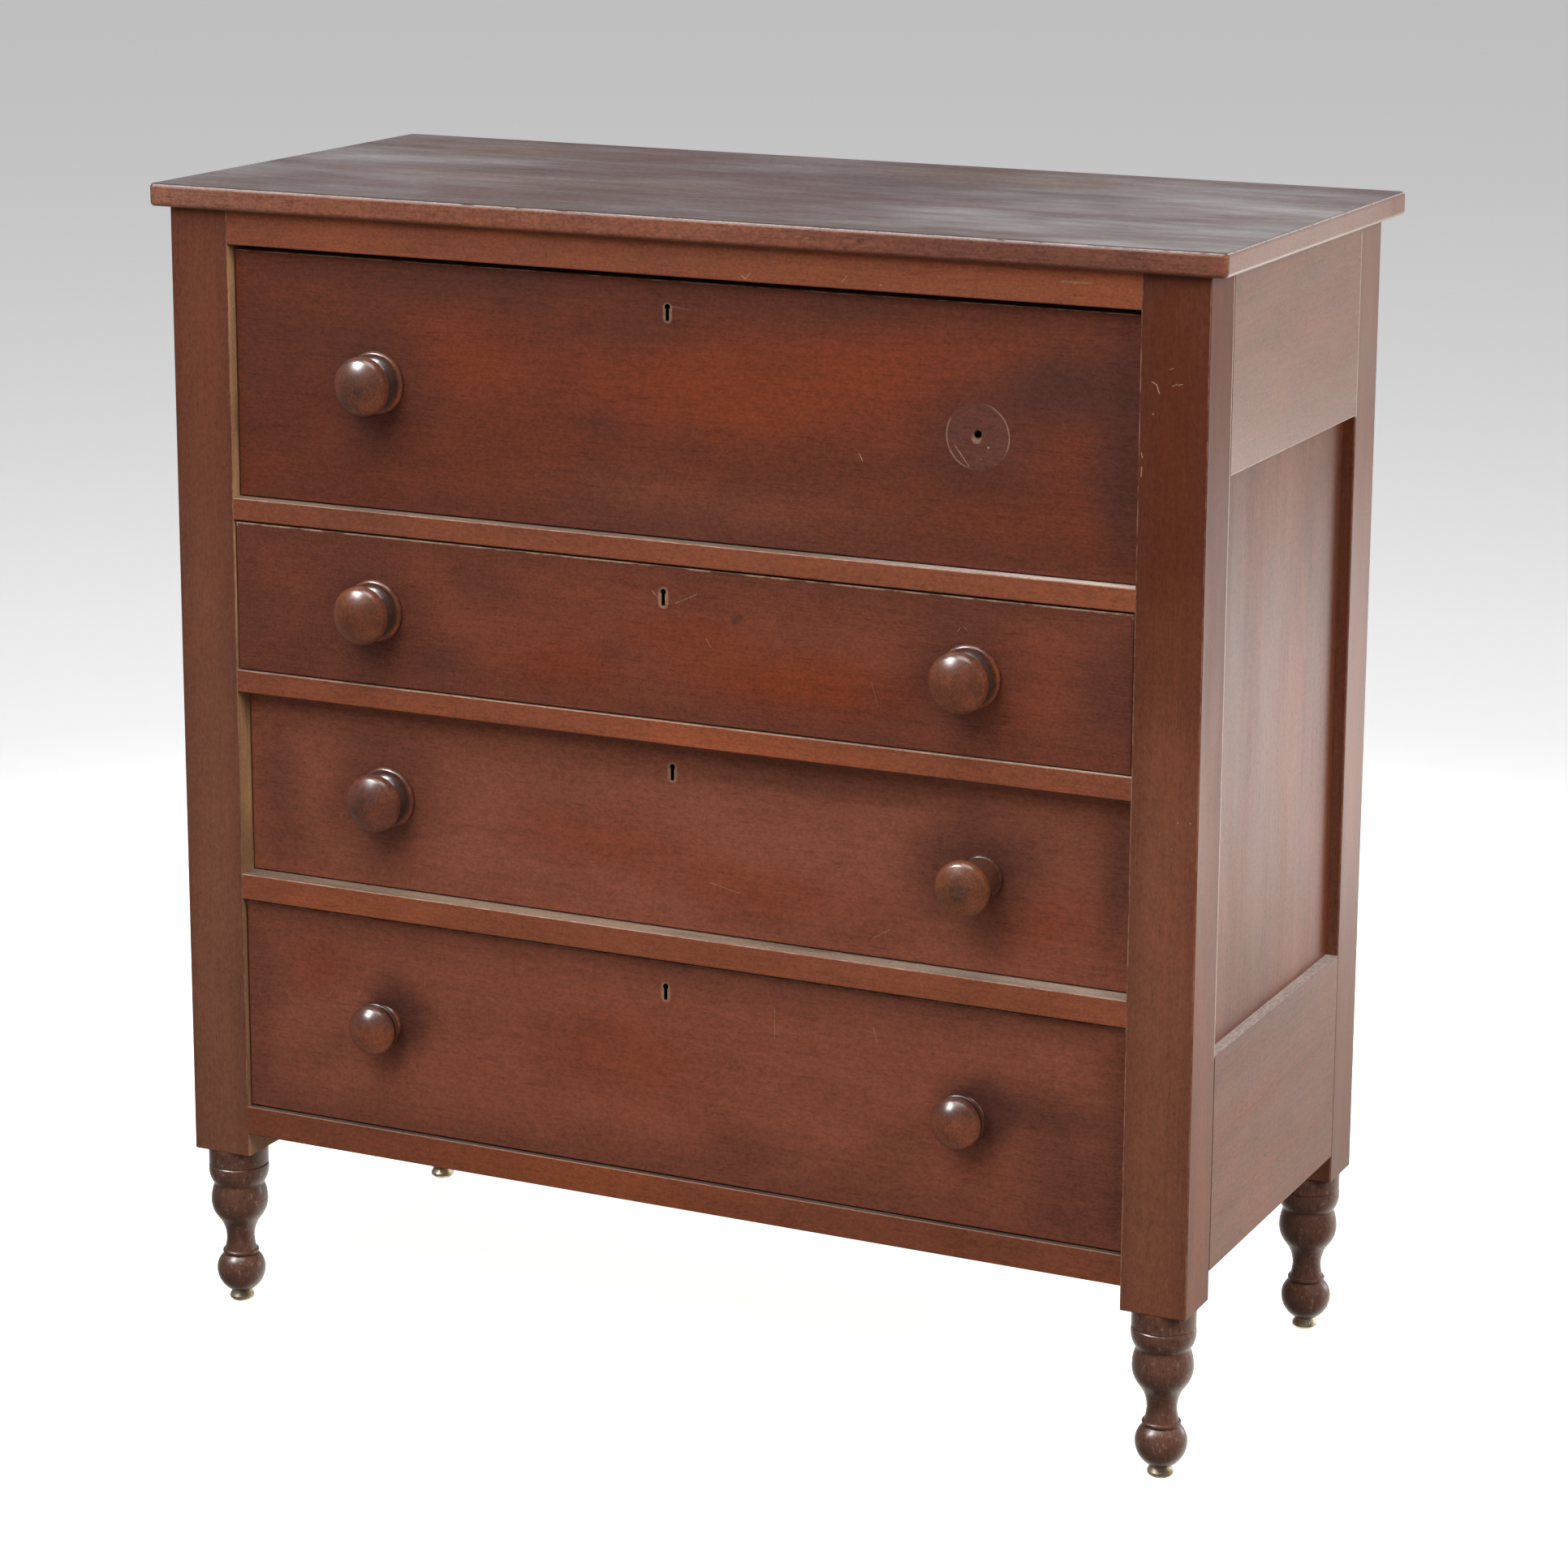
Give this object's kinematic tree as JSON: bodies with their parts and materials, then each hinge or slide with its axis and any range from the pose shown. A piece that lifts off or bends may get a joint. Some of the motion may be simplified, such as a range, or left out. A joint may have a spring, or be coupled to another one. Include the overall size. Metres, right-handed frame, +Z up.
{
  "type": "chest of drawers",
  "caption": "Flat-topped wooden chest of graduated drawers between panelled ends, on turned feet, with turned wooden knobs and drawer locks.",
  "frame": {"origin": "on the floor, in the middle of the chest's overall box", "axes": "+Z up, +Y towards the back, +X to the right as seen from the front"},
  "size_m": [1.033, 0.497, 1.074],
  "materials": {
    "top_wood": "aged satin varnish, dulled on top",
    "case_wood": "aged satin varnish over red-brown stain",
    "drawer_front_wood": "aged satin varnish over red-brown stain",
    "turned_wood": "glossy dark varnish",
    "secondary_wood": "bare planed softwood, darkened by age",
    "lock_iron": "dark worn iron",
    "glide_brass": "tarnished brass",
    "screw_steel": "dull steel"
  },
  "bodies": {
    "carcase": {"top_board": "top_wood", "post_front_left": "case_wood", "post_front_right": "case_wood", "post_back_left": "case_wood", "post_back_right": "case_wood", "foot_glides": "glide_brass", "side_top_rail_left": "case_wood", "side_top_rail_right": "case_wood", "side_bottom_rail_left": "case_wood", "side_bottom_rail_right": "case_wood", "side_panel_left": "case_wood", "side_panel_right": "case_wood", "front_top_rail": "case_wood", "drawer_divider_1": "case_wood", "drawer_divider_2": "case_wood", "drawer_divider_3": "case_wood", "front_bottom_rail": "case_wood", "back_rails": "secondary_wood", "back_boards": "secondary_wood", "drawer_runners": "secondary_wood", "drawer_guides": "secondary_wood", "drawer_kickers": "secondary_wood", "drawer_stops": "secondary_wood"},
    "drawer_1": {"drawer_1_front": "drawer_front_wood", "drawer_1_side_left": "secondary_wood", "drawer_1_side_right": "secondary_wood", "drawer_1_back": "secondary_wood", "drawer_1_bottom": "secondary_wood", "drawer_1_knobs": "turned_wood", "drawer_1_knob_screws": "screw_steel", "drawer_1_lock": "lock_iron"},
    "drawer_2": {"drawer_2_front": "drawer_front_wood", "drawer_2_side_left": "secondary_wood", "drawer_2_side_right": "secondary_wood", "drawer_2_back": "secondary_wood", "drawer_2_bottom": "secondary_wood", "drawer_2_knobs": "turned_wood", "drawer_2_knob_screws": "screw_steel", "drawer_2_lock": "lock_iron"},
    "drawer_3": {"drawer_3_front": "drawer_front_wood", "drawer_3_side_left": "secondary_wood", "drawer_3_side_right": "secondary_wood", "drawer_3_back": "secondary_wood", "drawer_3_bottom": "secondary_wood", "drawer_3_knobs": "turned_wood", "drawer_3_knob_screws": "screw_steel", "drawer_3_lock": "lock_iron"},
    "drawer_4": {"drawer_4_front": "drawer_front_wood", "drawer_4_side_left": "secondary_wood", "drawer_4_side_right": "secondary_wood", "drawer_4_back": "secondary_wood", "drawer_4_bottom": "secondary_wood", "drawer_4_knobs": "turned_wood", "drawer_4_knob_screws": "screw_steel", "drawer_4_lock": "lock_iron"},
    "lock_bolt_1": {"drawer_1_lock_bolt": "lock_iron"},
    "lock_bolt_2": {"drawer_2_lock_bolt": "lock_iron"},
    "lock_bolt_3": {"drawer_3_lock_bolt": "lock_iron"},
    "lock_bolt_4": {"drawer_4_lock_bolt": "lock_iron"}
  },
  "joints": [
    {"name": "drawer_1_slide", "type": "slide", "parent": "carcase", "child": "drawer_1", "axis": [0, -1, 0], "range_m": [0, 0.3]},
    {"name": "drawer_2_slide", "type": "slide", "parent": "carcase", "child": "drawer_2", "axis": [0, -1, 0], "range_m": [0, 0.3]},
    {"name": "drawer_3_slide", "type": "slide", "parent": "carcase", "child": "drawer_3", "axis": [0, -1, 0], "range_m": [0, 0.3]},
    {"name": "drawer_4_slide", "type": "slide", "parent": "carcase", "child": "drawer_4", "axis": [0, -1, 0], "range_m": [0, 0.3]},
    {"name": "lock_bolt_1_throw", "type": "slide", "parent": "drawer_1", "child": "lock_bolt_1", "axis": [0, 0, 1], "range_m": [0, 0.008]},
    {"name": "lock_bolt_2_throw", "type": "slide", "parent": "drawer_2", "child": "lock_bolt_2", "axis": [0, 0, 1], "range_m": [0, 0.008]},
    {"name": "lock_bolt_3_throw", "type": "slide", "parent": "drawer_3", "child": "lock_bolt_3", "axis": [0, 0, 1], "range_m": [0, 0.008]},
    {"name": "lock_bolt_4_throw", "type": "slide", "parent": "drawer_4", "child": "lock_bolt_4", "axis": [0, 0, 1], "range_m": [0, 0.008]}
  ]
}
